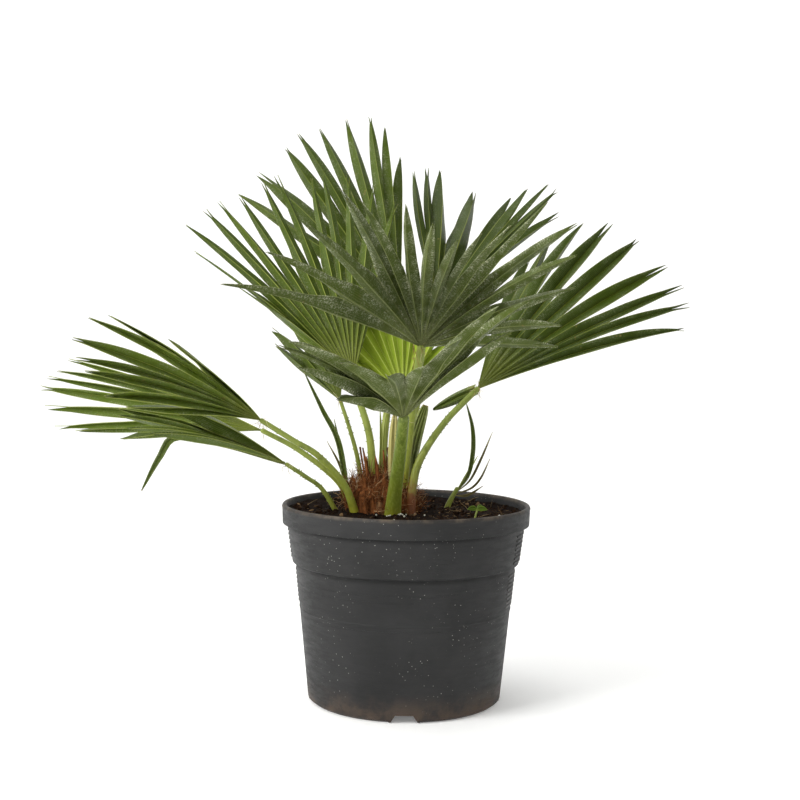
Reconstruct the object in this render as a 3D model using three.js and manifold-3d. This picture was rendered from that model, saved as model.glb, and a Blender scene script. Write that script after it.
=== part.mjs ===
// Young fan palm in a round plastic nursery pot.
// Millimetres, +Z up, pot axis on Z, the pot stands on z = 0, the front of the plant faces -Y.
import * as THREE from "three";
import { mergeVertices } from "three/addons/utils/BufferGeometryUtils.js";
import Module from "manifold-3d";

// ---------- driving dimensions ----------
const POT_HEIGHT = 205; // floor to rim
const POT_RADIUS = 130; // outside the rim band
const POT_WALL = 2.2;
const RIM_BAND = 20; // height of the rim band
const STEP_DROP = 60; // rim top down to the step in the wall
const BASE_RADIUS = 101; // at the foot
const SOIL_DROP = 15; // rim top down to the soil at the plant
const PLANT = 1; // size of the whole plant against the pot
const LEAF_LENGTH = 1; // length of the leaf blades against their listed size
const LEAF_SHEET = 0.8; // thickness of a blade
const FOLD = 0.42; // depth of a pleat against half its width
const STALK = 1; // thickness of the stalks against their listed size
const NOTCH = { foot: 27, top: 18, height: 7.6, inner: 72, cover: 2.2 }; // drainage channels
const GAP = 0.3; // clearance between touching pieces

const SOIL_Z = POT_HEIGHT - SOIL_DROP;
const ROUND = 56; // facets round the pot

// ---------- leaves ----------
// Positions are [x, y, height above the soil]. `tips` are the ends of the segments, from one side of the
// fan to the other; the blade is a smooth surface through them. `stalk` runs from the crown to the hub.
// `split` is the share of the length over which the segments are joined, `arch` the rise at mid-length.
const LEAVES = [
  { name: "front_arch", hub: [13, -45, 179], split: 0.45, arch: 0.03, wide: 3.2, foot: 4.2,
    stalk: [[-4, 4, 22], [2, -8, 82], [8, -33, 138]],
    tips: [[-170, -180, 240], [-130, -210, 265], [-90, -230, 285], [-60, -230, 315], [-40, -240, 310],
      [-10, -250, 300], [15, -260, 285], [40, -255, 275], [60, -255, 275], [85, -245, 285],
      [125, -215, 305], [150, -195, 295], [145, -200, 265], [150, -185, 235], [140, -185, 205],
      [135, -165, 180]] },
  { name: "right_spread", hub: [73, 5, 135], split: 0.47, arch: 0.03, wide: 2.8, foot: 4,
    stalk: [[4, -16, -5], [6, -14, 30], [14, -10, 62], [40, 0, 101]],
    tips: [[290, 5, 205], [295, 15, 230], [290, 25, 245], [275, 40, 270], [250, 50, 295],
      [220, 70, 315], [190, 90, 320], [165, 120, 300], [140, 140, 285]] },
  { name: "left_upright", hub: [-57, 0, 145], split: 0.5, arch: 0.03, wide: 2.8, foot: 3.8,
    stalk: [[-34, 8, 26], [-38, 6, 75], [-43, 4, 99], [-52, 2, 126]],
    tips: [[-180, 10, 240], [-225, 15, 275], [-235, 20, 305], [-220, 25, 320], [-205, 35, 330],
      [-185, 40, 335], [-160, 50, 350], [-140, 50, 360], [-110, 55, 360], [-90, 55, 365],
      [-65, 55, 360], [-40, 60, 355], [-15, 60, 335]] },
  { name: "front_low", hub: [-4, -90, 109], split: 0.5, arch: 0.05, wide: 4.4, foot: 8,
    stalk: [[-15, -22, -5], [-12, -38, 30], [-7, -66, 75]],
    tips: [[-65, -200, 135], [-95, -225, 160], [-115, -230, 180], [-100, -240, 185], [-55, -260, 165],
      [-15, -270, 160], [10, -270, 160], [45, -255, 190], [80, -230, 220], [105, -210, 225],
      [95, -200, 195]] },
  { name: "back_left", hub: [-9, 85, 210], split: 0.5, arch: 0.03, wide: 3, foot: 4.5,
    stalk: [[-26, 34, 20], [-24, 48, 85], [-14, 72, 165]],
    tips: [[-165, 120, 325], [-195, 140, 350], [-170, 145, 375], [-145, 140, 400], [-125, 140, 420],
      [-100, 140, 425], [-75, 140, 435], [-50, 145, 440], [-30, 155, 430], [-15, 170, 400]] },
  { name: "back_right", hub: [30, 80, 215], split: 0.48, arch: 0.03, wide: 3, foot: 4.5,
    stalk: [[-8, 34, 20], [4, 45, 85], [22, 66, 165]],
    tips: [[0, 215, 385], [18, 215, 392], [40, 225, 385], [85, 235, 365], [120, 225, 355],
      [145, 205, 365], [165, 185, 370], [175, 175, 360], [175, 170, 335]] },
  { name: "left_low_near", hub: [-147, -50, 103], split: 0.5, arch: 0.03, wide: 3, foot: 5,
    stalk: [[-50, -14, -4], [-64, -22, 35], [-91, -35, 67], [-114, -44, 82]],
    tips: [[-225, -150, 185], [-270, -195, 205], [-280, -210, 205], [-295, -220, 185],
      [-295, -220, 170], [-285, -215, 155], [-275, -200, 135], [-255, -170, 120]] },
  { name: "left_low_far", hub: [-151, 0, 89], split: 0.5, arch: 0.03, wide: 2.6, foot: 4,
    stalk: [[-58, 14, 4], [-72, 13, 35], [-113, 8, 68]],
    tips: [[-360, 20, 160], [-370, 25, 150], [-385, 30, 140], [-395, 35, 125], [-385, 40, 105],
      [-375, 50, 85], [-360, 55, 80], [-315, 60, 75]] },
  { name: "left_drooping", hub: [-124, -20, 56], split: 0.5, arch: 0.04, wide: 2.2, foot: 3,
    stalk: [[-68, 2, -5], [-87, -6, 28], [-104, -12, 42]],
    tips: [[-240, -110, 125], [-280, -110, 115], [-275, -130, 107], [-262, -148, 102], [-238, -145, 94]] },
  { name: "young_centre", hub: [-4, 20, 125], split: 0.6, arch: 0.02, wide: 2.6, foot: 4,
    stalk: [[-16, 18, 26], [-13, 19, 60], [-7, 20, 100]],
    tips: [[-60, 20, 150], [-75, 30, 170], [-80, 35, 195], [-70, 45, 225], [-55, 50, 250],
      [-35, 55, 265], [-10, 58, 265], [10, 60, 260], [30, 58, 245], [45, 54, 220], [45, 48, 185]] },
  { name: "small_left", hub: [-72, 45, 119], split: 0.5, arch: 0.02, wide: 2, foot: 3,
    stalk: [[-46, 32, 22], [-53, 38, 59], [-62, 42, 90]],
    tips: [[-145, 80, 175], [-150, 90, 200], [-135, 110, 220], [-115, 115, 235], [-95, 115, 240],
      [-75, 120, 230]] },
];

// Short stems that carry blades only: the sucker shoot on the right and the seedling.
const STEMS = [
  { name: "shoot_right_stem", hub: [55, 45, 25], wide: 2.4, foot: 4, stalk: [[42, 46, -4], [47, 46, 10]] },
  { name: "seedling_stem", hub: [73, -28, 12], wide: 1, foot: 1.2, stalk: [[70, -32, -4], [71, -30, 5]] },
];

// Narrow single blades: the folded new leaf, sucker leaves and young stalks, `wide` at the middle.
// A blade `on` a stalk or stem starts at its round end; the others start in the crown or the soil.
const STRAPS = [
  { name: "spear_leaf", path: [[0, 10, 38], [8, 2, 81], [19, -2, 118]], wide: 12, colour: "spear" },
  { name: "pale_sheath", path: [[-14, 2, 38], [-14, 0, 80], [-13, -4, 108]], wide: 10, colour: "pale" },
  { name: "thin_stalk_a", path: [[-27, 18, 38], [-27, 22, 75], [-29, 24, 113]], wide: 4, colour: "stalk" },
  { name: "thin_stalk_b", path: [[-24, 10, 38], [-24, 11, 78], [-22, 8, 111]], wide: 4, colour: "stalk" },
  { name: "bent_segment", on: "left_drooping", path: [[-185, -28, 77], [-236, -28, 84], [-254, -29, 62],
    [-272, -30, 28]], wide: 9, colour: "leaf" },
  { name: "basal_segment", on: "right_spread", path: [[52, 34, 129], [28, 42, 111]], wide: 9, colour: "leaf" },
  { name: "sucker_left_blade", path: [[-72, 20, -4], [-90, 24, 110], [-110, 26, 150]], wide: 10, colour: "leaf" },
  { name: "sucker_left_tip_a", path: [[-71, 30, -4], [-75, 31, 60], [-78, 32, 100]], wide: 4, colour: "leaf" },
  { name: "sucker_left_tip_b", path: [[-66, 38, -4], [-74, 38, 42], [-86, 40, 76]], wide: 4, colour: "dry" },
  { name: "shoot_right_blade", on: "shoot_right_stem", path: [[66, 50, 66], [64, 49, 118]], wide: 9, colour: "leaf" },
  { name: "shoot_right_tip_a", on: "shoot_right_stem", path: [[78, 36, 54], [92, 36, 88]], wide: 3.6, colour: "dry" },
  { name: "shoot_right_tip_b", on: "shoot_right_stem", path: [[78, 30, 32], [89, 27, 60]], wide: 3.6, colour: "dry" },
  { name: "shoot_right_tip_c", on: "shoot_right_stem", path: [[66, 28, 20], [82, 18, 32]], wide: 3.6, colour: "dry" },
  { name: "shoot_right_tip_d", on: "shoot_right_stem", path: [[64, 60, 36], [78, 60, 60]], wide: 3.6, colour: "leaf" },
  { name: "seedling_leaf_a", on: "seedling_stem", path: [[76, -23, 14.5], [80, -19, 14]], wide: 6, colour: "leaf" },
  { name: "seedling_leaf_b", on: "seedling_stem", path: [[78, -31, 14], [83, -33, 13]], wide: 6, colour: "leaf" },
  { name: "seedling_leaf_c", on: "seedling_stem", path: [[68, -29, 14], [63, -31, 13]], wide: 6, colour: "leaf" },
];

// ---------- materials ----------
const finish = (color, roughness) => new THREE.MeshStandardMaterial({ color, roughness, metalness: 0 });
const MATERIALS = {
  pot: finish("#3b3c3e", 0.55),
  soil: finish("#2a1d15", 0.95),
  fibre: finish("#6b3a20", 0.95),
  leaf: finish("#3f5f35", 0.5),
  dusty: finish("#5d6f55", 0.6),
  young: finish("#8fae3c", 0.45),
  spear: finish("#7c8a62", 0.6),
  stalk: finish("#8ba043", 0.45),
  pale: finish("#d8d3ae", 0.7),
  dry: finish("#8a6a48", 0.8),
};

// ---------- solids ----------
const wasm = await Module();
wasm.setup();

// A three.js geometry as a manifold solid, with the triangles that collapse at an axis or a tip dropped.
function toSolid(geometry) {
  const bare = new THREE.BufferGeometry().setAttribute("position", geometry.getAttribute("position"));
  if (geometry.index) bare.setIndex(geometry.index);
  const merged = mergeVertices(bare.index ? bare.toNonIndexed() : bare, 1e-3);
  const index = merged.index.array, triangles = [];
  for (let i = 0; i < index.length; i += 3) {
    const [a, b, c] = [index[i], index[i + 1], index[i + 2]];
    if (a !== b && b !== c && c !== a) triangles.push(a, b, c);
  }
  return new wasm.Manifold(new wasm.Mesh({
    numProp: 3, vertProperties: new Float32Array(merged.attributes.position.array),
    triVerts: new Uint32Array(triangles),
  }));
}

function toGeometry(solid) {
  const { numProp, numVert, vertProperties, triVerts } = solid.getMesh();
  const position = new Float32Array(numVert * 3);
  for (let i = 0; i < numVert; i++)
    position.set(vertProperties.subarray(i * numProp, i * numProp + 3), i * 3);
  const geometry = new THREE.BufferGeometry()
    .setAttribute("position", new THREE.BufferAttribute(position, 3))
    .setIndex(new THREE.BufferAttribute(new Uint32Array(triVerts), 1));
  geometry.computeVertexNormals();
  return geometry;
}

const largest = (solid) => solid.decompose().sort((a, b) => b.volume() - a.volume())[0];
const lathe = (profile, sides = ROUND) => {
  // the profile is listed [radius, height] and turned about Z
  const geometry = new THREE.LatheGeometry(profile.map(([r, z]) => new THREE.Vector2(r, z)), sides);
  return geometry.rotateX(Math.PI / 2);
};

// ---------- curves ----------
const place = ([x, y, up]) => new THREE.Vector3(x * PLANT, y * PLANT, SOIL_Z + up * PLANT);
const chance = (seed, i) => {
  const x = Math.sin(seed * 78.233 + i * 12.9898) * 43758.5453;
  return 2 * (x - Math.floor(x)) - 1;
};

// Catmull-Rom value through `list` (numbers or vectors as arrays) at share v, carried straight past the ends.
function through(list, v) {
  const last = list.length - 1, s = v * last;
  const k = Math.min(last - 1, Math.max(0, Math.floor(s))), f = s - k;
  const get = (i, c) => list[i][c];
  return list[0].map((_, c) => {
    const b = get(k, c), d = get(k + 1, c);
    const a = k > 0 ? get(k - 1, c) : 2 * b - d;
    const e = k + 2 <= last ? get(k + 2, c) : 2 * d - b;
    if (f < 0) return b + ((d - a) / 2) * f;
    if (f > 1) return d + ((e - b) / 2) * (f - 1);
    return 0.5 * (2 * b + (d - a) * f + (2 * a - 5 * b + 4 * d - e) * f * f + (-a + 3 * b - 3 * d + e) * f ** 3);
  });
}

// A sheet of faces (lists of vertex numbers) given LEAF_SHEET of thickness and closed round its edge.
function thickSheet(points, faces, thickness) {
  const normals = points.map(() => new THREE.Vector3());
  for (const [a, b, c] of faces) {
    const n = new THREE.Vector3().crossVectors(
      points[b].clone().sub(points[a]), points[c].clone().sub(points[a])).normalize();
    for (const i of [a, b, c]) normals[i].add(n);
  }
  normals.forEach((n) => n.normalize().multiplyScalar(thickness / 2));
  const count = points.length, edges = new Map(), index = [];
  for (const [a, b, c] of faces) {
    index.push(a, b, c, a + count, c + count, b + count);
    for (const [p, q] of [[a, b], [b, c], [c, a]]) {
      if (edges.has(`${q} ${p}`)) edges.delete(`${q} ${p}`);
      else edges.set(`${p} ${q}`, [p, q]);
    }
  }
  for (const [p, q] of edges.values()) index.push(p, p + count, q, q, p + count, q + count);
  const position = [...points.map((v, i) => v.clone().add(normals[i])),
    ...points.map((v, i) => v.clone().sub(normals[i]))];
  return new THREE.BufferGeometry().setFromPoints(position).setIndex(index);
}

// ---------- leaves ----------
// Point of a fan: w counts segments from one side (0.5 is the midrib of the first), t runs from hub to tip.
function fanSurface(leaf) {
  const hub = place(leaf.hub);
  const arms = leaf.tips.map((tip) => place(tip).sub(hub));
  const lengths = arms.map((arm) => [arm.length() * LEAF_LENGTH]);
  const aims = arms.map((arm) => arm.clone().normalize().toArray());
  const lengthAt = (w) => through(lengths, (w - 0.5) / (leaf.tips.length - 1))[0];
  const at = (w, t) => {
    const aim = new THREE.Vector3(...through(aims, (w - 0.5) / (leaf.tips.length - 1))).normalize();
    return hub.clone().addScaledVector(aim, lengthAt(w) * t)
      .add(new THREE.Vector3(0, 0, leaf.arch * lengthAt(w) * 4 * t * (1 - t)));
  };
  return { at, lengthAt };
}

function fanGeometry(leaf, seed) {
  const { at, lengthAt } = fanSurface(leaf), count = leaf.tips.length;
  const reach = leaf.wide * STALK + 1.5 * GAP; // the blade starts just outside the round end of its stalk
  const across = (w, t) => at(w + 0.05, t).sub(at(w - 0.05, t)).normalize();
  const facing = (w, t) => new THREE.Vector3()
    .crossVectors(at(w, t + 0.02).sub(at(w, t - 0.02)), across(w, t)).normalize();
  const halfWidth = (w, t) => at(w + 0.5, t).distanceTo(at(w - 0.5, t)) / 2;
  const points = [], faces = [];
  const add = (p) => points.push(p) - 1;
  const quad = (a, b, c, d) => faces.push([a, b, c], [a, c, d]);

  // the joined part, pleated: high between segments, low along each midrib
  const rows = [0, 0.5, 1].map((share) =>
    Array.from({ length: 2 * count + 1 }, (_, j) => {
      const w = j / 2, side = j % 2 ? -1 : 1, start = reach / lengthAt(w);
      const t = start + (leaf.split - start) * share;
      return add(at(w, t).addScaledVector(facing(w, t), side * FOLD * halfWidth(w, t)));
    }));
  for (let r = 0; r < 2; r++)
    for (let j = 0; j < 2 * count; j++)
      quad(rows[r][j], rows[r][j + 1], rows[r + 1][j + 1], rows[r + 1][j]);

  // the free end of each segment
  for (let i = 0; i < count; i++) {
    const w = i + 0.5, wide = halfWidth(w, leaf.split);
    const side = across(w, leaf.split);
    let before = rows[2].slice(2 * i, 2 * i + 3);
    for (const share of [0.4, 0.78]) {
      const t = leaf.split + (1 - leaf.split) * share, half = wide * (1 - share ** 2.6);
      const sway = share * share * 5 * PLANT;
      const mid = at(w, t).addScaledVector(side, chance(seed, i) * sway)
        .addScaledVector(facing(w, t), chance(seed + 40, i) * sway);
      const low = facing(w, t).multiplyScalar(-FOLD * half);
      const next = [add(mid.clone().addScaledVector(side, -half).sub(low)), add(mid.clone().add(low)),
        add(mid.clone().addScaledVector(side, half).sub(low))];
      quad(before[0], before[1], next[1], next[0]);
      quad(before[1], before[2], next[2], next[1]);
      before = next;
    }
    const tip = add(at(w, 1).addScaledVector(side, chance(seed, i) * 6 * PLANT)
      .addScaledVector(facing(w, 0.97), chance(seed + 40, i) * 6 * PLANT));
    faces.push([before[0], before[1], tip], [before[1], before[2], tip]);
  }
  return thickSheet(points, faces, LEAF_SHEET);
}

// A tapered round stalk along a smooth curve, flat at the foot and round at the hub.
// `grow` swells it on every side, for the room it takes in the crown and the soil.
function stalkGeometry(leaf, grow = 0, steps = 9, sides = 8) {
  const points = [...leaf.stalk.map(place), place(leaf.hub)];
  points[0].addScaledVector(points[0].clone().sub(points[1]).normalize(), grow);
  const curve = new THREE.CatmullRomCurve3(points);
  const frames = curve.computeFrenetFrames(steps);
  const foot = leaf.foot * STALK + grow, end = leaf.wide * STALK + grow;
  const rings = [], index = [];
  const ring = (centre, r, s) => {
    for (let k = 0; k < sides; k++) {
      const a = (2 * Math.PI * k) / sides;
      rings.push(centre.clone().addScaledVector(frames.normals[s], r * Math.cos(a))
        .addScaledVector(frames.binormals[s], r * Math.sin(a)));
    }
  };
  for (let s = 0; s <= steps; s++) ring(curve.getPointAt(s / steps), foot + (end - foot) * Math.sqrt(s / steps), s);
  for (const turn of [35, 65]) {
    const a = THREE.MathUtils.degToRad(turn);
    ring(curve.getPointAt(1).addScaledVector(frames.tangents[steps], end * Math.sin(a)), end * Math.cos(a), steps);
  }
  const last = steps + 2;
  for (let s = 0; s < last; s++)
    for (let k = 0; k < sides; k++) {
      const a = s * sides + k, b = s * sides + ((k + 1) % sides);
      index.push(a, b, b + sides, a, b + sides, a + sides);
    }
  const low = rings.length, high = low + 1;
  rings.push(curve.getPointAt(0), curve.getPointAt(1).addScaledVector(frames.tangents[steps], end));
  for (let k = 0; k < sides; k++) {
    const next = (k + 1) % sides;
    index.push(low, next, k, high, last * sides + k, last * sides + next);
  }
  return new THREE.BufferGeometry().setFromPoints(rings).setIndex(index);
}

// A narrow folded blade along a curve, tapering to its tip. `grow` swells it as it does a stalk.
function strapGeometry(strap, grow = 0) {
  const path = strap.path.map(place);
  if (strap.on) {
    const carrier = [...LEAVES, ...STEMS].find((one) => one.name === strap.on);
    const centre = place(carrier.hub), away = path[0].clone().sub(centre).normalize();
    path.unshift(centre.addScaledVector(away, carrier.wide * STALK + 2.4 * GAP));
  } else path[0].addScaledVector(path[0].clone().sub(path[1]).normalize(), grow);
  const curve = new THREE.CatmullRomCurve3(path);
  const up = new THREE.Vector3(0, -1, 0.2).normalize();
  const points = [], faces = [], steps = 6, from = strap.on ? 0.07 : 0.3;
  for (let s = 0; s <= steps; s++) {
    const t = s / steps, centre = curve.getPointAt(t);
    const along = curve.getTangentAt(t), side = new THREE.Vector3().crossVectors(along, up).normalize();
    const face = new THREE.Vector3().crossVectors(side, along).normalize();
    const half = (strap.wide / 2) * PLANT * Math.sin(Math.PI * (from + (0.95 - from) * t));
    for (const k of [-1, 0, 1])
      points.push(centre.clone().addScaledVector(side, (half + grow) * k)
        .addScaledVector(face, (Math.abs(k) - 0.5) * half * 0.6));
  }
  for (let s = 0; s < steps; s++)
    for (let k = 0; k < 2; k++) {
      const a = 3 * s + k;
      faces.push([a, a + 1, a + 4], [a, a + 4, a + 3]);
    }
  return thickSheet(points, faces, LEAF_SHEET + 2 * grow);
}

// ---------- pot ----------
const R = POT_RADIUS, H = POT_HEIGHT, W = POT_WALL;
const bandFoot = H - RIM_BAND, step = H - STEP_DROP;
const potOutside = [
  [0, 0], [BASE_RADIUS - 4, 0], [BASE_RADIUS, 3], [R - 15.5, step - 6], [R - 15, step - 1.5], [R - 11.5, step],
  [R - 6.4, bandFoot - 1], [R - 5, bandFoot], [R - 1, bandFoot], [R - 0.4, H - 4], [R, H - 3], [R - 1, H - 0.6],
  [R - 2.5, H],
];
const potInside = [
  [R - 4.6, H - 0.8], [R - 5.6, H - 4], [R - 6.4, bandFoot + 3], [R - 8, bandFoot - 4], [R - 11.5 - W, step + 2],
  [R - 15 - W - 2, step - 5], [BASE_RADIUS - W, 5], [BASE_RADIUS - W - 3, 2.5], [0, 2.5],
];
const insideAt = (z) => {
  // inside radius of the pot at height z
  const wall = [...potInside].reverse();
  for (let i = 1; i < wall.length; i++)
    if (z <= wall[i][1])
      return wall[i - 1][0] + ((wall[i][0] - wall[i - 1][0]) * (z - wall[i - 1][1])) /
        (wall[i][1] - wall[i - 1][1] || 1);
  return wall[wall.length - 1][0];
};

// A drainage channel under the floor: a wedge of trapezium section running outwards along +X.
function channel(grow, from, to) {
  const half = NOTCH.foot / 2 + grow, top = NOTCH.top / 2 + grow, high = NOTCH.height + grow;
  const shape = new THREE.Shape([
    new THREE.Vector2(-half, -1), new THREE.Vector2(half, -1), new THREE.Vector2(top, high),
    new THREE.Vector2(-top, high),
  ]);
  const geometry = new THREE.ExtrudeGeometry(shape, { depth: to - from, bevelEnabled: false });
  return toSolid(geometry.rotateX(Math.PI / 2).rotateZ(Math.PI / 2).translate(from, 0, 0));
}
const around = (solid) => [0, 90, 180, 270].map((turn) => solid.rotate([0, 0, turn + 90]));
const join = (solids) => wasm.Manifold.union(solids);

const shell = toSolid(lathe([...potOutside, ...potInside]));
const potBody = toSolid(lathe([...potOutside, [0, H]]));
const covers = join(around(channel(NOTCH.cover, NOTCH.inner - NOTCH.cover, R))).intersect(potBody);
const channels = join(around(channel(0, NOTCH.inner, R + 10)));
const drain = join(around(toSolid(new THREE.CylinderGeometry(5, 5, 12, 16).rotateX(Math.PI / 2)
  .translate(NOTCH.inner + 10, 0, NOTCH.height + 2))));
const pot = largest(shell.add(covers.trimByPlane([0, 0, 1], 0)).subtract(channels).subtract(drain));

// ---------- soil and crown ----------
const CROWN = { x: -24, y: 14, radius: 36, height: 44 };
// the crown's skirt is 5 mm wider than its radius, and its outline swells by up to 1.09, and 1.08 more along X
const crownReach = (Math.hypot(CROWN.x, CROWN.y) + (CROWN.radius + 5) * 1.09 * 1.08) * PLANT;
const level = Math.max(R - 48, crownReach); // the soil is level under the whole crown and rises beyond
const clear = GAP;
const soilProfile = [
  [0, 2.5 + clear], [BASE_RADIUS - W - 3.4, 2.5 + clear], [BASE_RADIUS - W - clear - 0.3, 5.4],
  [R - 15 - W - 2 - clear - 0.3, step - 5], [R - 11.5 - W - clear - 0.3, step + 2.2],
  [insideAt(SOIL_Z + 4) - clear - 0.5, SOIL_Z + 3.4], [R - 22, SOIL_Z + 2], [level, SOIL_Z], [0, SOIL_Z],
];
const crownShape = (() => {
  const { radius: r, height: h } = CROWN;
  const geometry = lathe([[0, GAP], [r + 2, GAP], [r + 5, 7], [r, 20], [r - 7, 33], [r - 16, h - 3], [0, h]], 22);
  const p = geometry.attributes.position;
  for (let i = 0; i < p.count; i++) {
    const a = Math.atan2(p.getY(i), p.getX(i)), rough = 1 + 0.05 * Math.sin(5 * a + p.getZ(i) / 6) +
      0.04 * Math.sin(9 * a - p.getZ(i) / 4);
    p.setXYZ(i, p.getX(i) * rough * 1.08, p.getY(i) * rough, p.getZ(i));
  }
  return toSolid(geometry.scale(PLANT, PLANT, PLANT).translate(CROWN.x * PLANT, CROWN.y * PLANT,
    SOIL_Z + GAP - GAP * PLANT));
})();

const carriers = [...LEAVES, ...STEMS];
const stalks = carriers.map((leaf) => toSolid(stalkGeometry(leaf)));
const fans = LEAVES.map((leaf, i) => toSolid(fanGeometry(leaf, i + 1)));
const straps = STRAPS.map((strap) => toSolid(strapGeometry(strap)));
const room = join([...carriers.map((leaf) => toSolid(stalkGeometry(leaf, GAP * 1.4))),
  ...STRAPS.map((strap) => toSolid(strapGeometry(strap, GAP * 1.2)))]);

const fullSoil = toSolid(lathe(soilProfile));
const coverRoom = join(around(channel(NOTCH.cover + GAP * 1.5, NOTCH.inner - NOTCH.cover - GAP * 1.5, R + 10)));
const soil = largest(fullSoil.subtract(coverRoom).subtract(room));
const crown = largest(crownShape.subtract(room));

// ---------- the part ----------
const group = new THREE.Group();
const addMesh = (name, solid, material) => {
  const mesh = new THREE.Mesh(toGeometry(solid), MATERIALS[material].clone());
  mesh.name = name;
  group.add(mesh);
};
addMesh("pot", pot, "pot");
addMesh("soil", soil, "soil");
addMesh("crown", crown, "fibre");
const LOOKS = { young_centre: "young", front_arch: "dusty", front_low: "dusty" };
carriers.forEach((leaf, i) => addMesh(leaf.tips ? `stalk_${leaf.name}` : leaf.name, stalks[i], "stalk"));
LEAVES.forEach((leaf, i) => addMesh(`fan_${leaf.name}`, fans[i], LOOKS[leaf.name] ?? "leaf"));
STRAPS.forEach((strap, i) => addMesh(strap.name, straps[i], strap.colour));

export default group;
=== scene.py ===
# %% [markdown]
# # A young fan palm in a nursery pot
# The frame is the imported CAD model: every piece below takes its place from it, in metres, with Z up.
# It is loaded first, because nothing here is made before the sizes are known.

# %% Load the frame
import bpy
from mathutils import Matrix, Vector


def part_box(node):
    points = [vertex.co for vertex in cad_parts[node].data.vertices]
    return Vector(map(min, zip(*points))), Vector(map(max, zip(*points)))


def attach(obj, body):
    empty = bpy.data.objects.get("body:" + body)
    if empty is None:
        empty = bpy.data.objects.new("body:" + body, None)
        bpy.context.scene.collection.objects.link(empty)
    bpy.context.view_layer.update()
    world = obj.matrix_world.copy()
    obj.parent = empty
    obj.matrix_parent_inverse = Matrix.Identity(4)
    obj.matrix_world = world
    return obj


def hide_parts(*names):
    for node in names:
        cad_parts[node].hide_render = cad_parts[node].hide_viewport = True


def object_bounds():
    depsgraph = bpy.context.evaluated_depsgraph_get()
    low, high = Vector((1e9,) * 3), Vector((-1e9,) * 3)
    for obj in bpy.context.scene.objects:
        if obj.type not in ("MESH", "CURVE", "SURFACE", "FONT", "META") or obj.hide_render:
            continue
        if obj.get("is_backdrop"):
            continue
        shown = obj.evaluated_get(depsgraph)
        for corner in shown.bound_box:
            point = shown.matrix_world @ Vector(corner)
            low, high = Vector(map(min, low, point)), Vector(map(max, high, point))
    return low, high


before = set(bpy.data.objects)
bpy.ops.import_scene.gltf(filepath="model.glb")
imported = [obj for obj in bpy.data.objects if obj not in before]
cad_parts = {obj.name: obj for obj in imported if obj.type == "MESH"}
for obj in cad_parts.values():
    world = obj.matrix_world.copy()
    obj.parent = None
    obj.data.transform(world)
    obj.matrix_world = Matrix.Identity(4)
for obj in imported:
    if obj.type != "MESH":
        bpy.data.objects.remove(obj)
cad_low, cad_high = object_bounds()
print("CAD box in metres", [round(v, 3) for v in (*cad_low, *cad_high)])

# %% [markdown]
# ## Sizes
# The listed sizes are in millimetres, as on a drawing, and `MM` turns them into Blender's metres.
# The pot's box gives its radius and height, and the underside of the crown gives the compost's level.

# %% Take the main sizes from the frame
import math
import random

import bmesh
import bpy
from mathutils import Matrix, Vector, noise

MM = 0.001
UP = Vector((0, 0, 1))
pot_low, pot_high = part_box("pot")
RIM_Z = pot_high.z
RIM_RADIUS = pot_high.x
SOIL_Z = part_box("crown")[0].z - 0.3 * MM
print("pot", [round(v / MM, 1) for v in (*pot_low, *pot_high)], "mm, compost at", round(SOIL_Z / MM, 1))

# %% [markdown]
# ## Camera, light and floor
# The plant is seen from a little above the rim, with a long lens that keeps the pot's sides nearly parallel.
# A studio floor that curves up into a round wall has no horizon, so it stays plain from every side. Its
# paint glows a little, which keeps it white where the lamps reach less.
# Two large soft lamps stand for the studio's boxes: one at the front left and one overhead.

# %% Make meshes and objects
def shape(bm, name):
    """Turns a finished bmesh into a mesh."""
    mesh = bpy.data.meshes.new(name)
    bm.to_mesh(mesh)
    bm.free()
    return mesh


def put(name, data):
    """Adds an object that shows `data` to the scene."""
    made = bpy.data.objects.new(name, data)
    bpy.context.scene.collection.objects.link(made)
    return made


# %% Camera
CAMERA_PLACE = (-0.0078, -1.392, 0.384)
DEGREES_DOWN, DEGREES_LEANT = 2.92, 0.7


def add_camera():
    lens = bpy.data.cameras.new("camera")
    lens.lens, lens.sensor_width = 60, 36
    camera = put("camera", lens)
    pitch = Matrix.Rotation(math.radians(90 - DEGREES_DOWN), 4, "X")
    roll = Matrix.Rotation(math.radians(DEGREES_LEANT), 4, "Z")
    camera.matrix_world = Matrix.Translation(CAMERA_PLACE) @ (pitch @ roll)
    bpy.context.scene.camera = camera
    return camera


camera = add_camera()
print("camera", [round(v, 3) for v in camera.location])

# %% Colours
def colour(code):
    """The linear colour of a web colour code, with full alpha."""
    shares = [int(code[i:i + 2], 16) / 255 for i in (1, 3, 5)]
    return tuple(s / 12.92 if s <= 0.04045 else ((s + 0.055) / 1.055) ** 2.4 for s in shares) + (1.0,)


# %% Turn a profile round the upright axis
def spun(bm, profile, steps):
    """Spins [radius, height] points in millimetres round Z, and closes the poles."""
    verts = [bm.verts.new((r * MM, 0, z * MM)) for r, z in profile]
    edges = [bm.edges.new(pair) for pair in zip(verts, verts[1:])]
    bmesh.ops.spin(bm, geom=verts + edges, cent=(0, 0, 0), axis=(0, 0, 1), angle=math.tau,
                   steps=steps, use_merge=True)
    bmesh.ops.remove_doubles(bm, verts=bm.verts, dist=1e-6)


# %% Floor and wall in one sweep
STUDIO_PROFILE = [[0, -0.4], [2600, -0.4], [3300, 60], [3800, 400], [4000, 1100], [4000, 4200]]
FLOOR_PAINT = {"Base Color": (0.92, 0.92, 0.91, 1), "Roughness": 0.9,
               "Emission Color": (1, 1, 1, 1), "Emission Strength": 0.16}


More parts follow.
